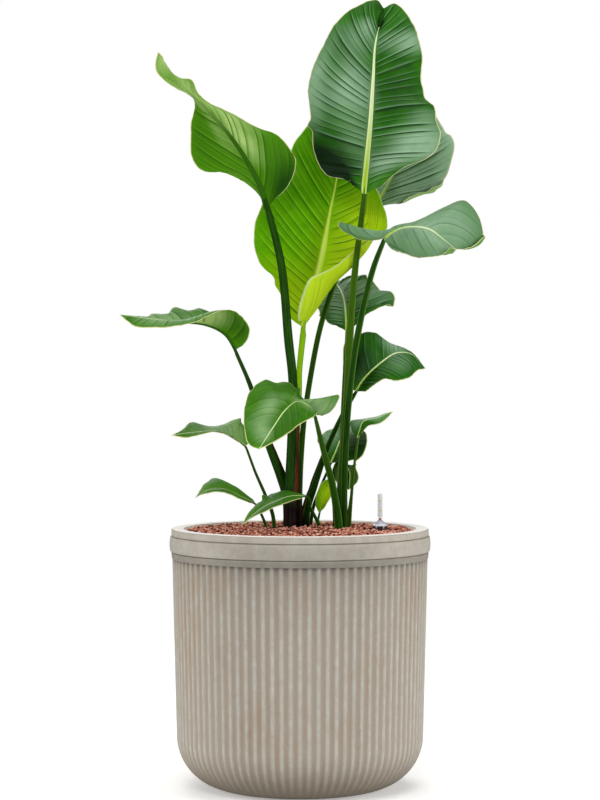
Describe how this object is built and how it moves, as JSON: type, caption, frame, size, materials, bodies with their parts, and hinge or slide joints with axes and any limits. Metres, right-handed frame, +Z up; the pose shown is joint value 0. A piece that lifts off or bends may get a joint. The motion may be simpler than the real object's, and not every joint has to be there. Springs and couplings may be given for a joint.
{
  "type": "potted bird of paradise plant",
  "caption": "Broad-leaved plant on tall stalks in a round ribbed planter filled with granulate, with a water gauge whose float rises and falls.",
  "frame": {"origin": "centre of the planter's flat base, on the surface it stands on", "axes": "+Z up along the planter's axis, -Y to the viewer's side in the picture, +X to the viewer's right"},
  "size_m": [0.5913, 0.4422, 1.3139],
  "materials": {
    "planter": "matte",
    "granulate": "matte",
    "gauge_clear": "gloss",
    "gauge_dark": "satin",
    "gauge_red": "satin",
    "leaf_dark": "satin",
    "leaf_bright": "satin",
    "leaf_fresh": "satin",
    "stalk": "satin"
  },
  "bodies": {
    "planted_pot": {"planter": "planter", "granulate": "granulate", "gauge_cap": "gauge_clear", "gauge_shaft": "gauge_dark", "leaf_01": "leaf_dark", "stalk_01": "stalk", "leaf_02": "leaf_bright", "stalk_02": "stalk", "leaf_03": "leaf_fresh", "stalk_03": "stalk", "leaf_04": "leaf_dark", "stalk_04": "stalk", "leaf_05": "leaf_fresh", "stalk_05": "stalk", "leaf_06": "leaf_fresh", "stalk_06": "stalk", "leaf_07": "leaf_fresh", "stalk_07": "stalk", "leaf_08": "leaf_dark", "stalk_08": "stalk", "leaf_09": "leaf_fresh", "stalk_09": "stalk", "leaf_10": "leaf_dark", "stalk_10": "stalk", "leaf_11": "leaf_fresh", "stalk_11": "stalk", "leaf_12": "leaf_dark", "stalk_12": "stalk", "leaf_13": "leaf_fresh", "stalk_13": "stalk", "leaf_14": "leaf_dark", "stalk_14": "stalk", "leaf_15": "leaf_bright", "stalk_15": "stalk", "leaf_16": "leaf_fresh", "stalk_16": "stalk"},
    "float": {"gauge_float": "gauge_red"}
  },
  "joints": [
    {"name": "float_rise", "type": "slide", "parent": "planted_pot", "child": "float", "axis": [0, 0, 1], "range_m": [0, 0.034]}
  ]
}
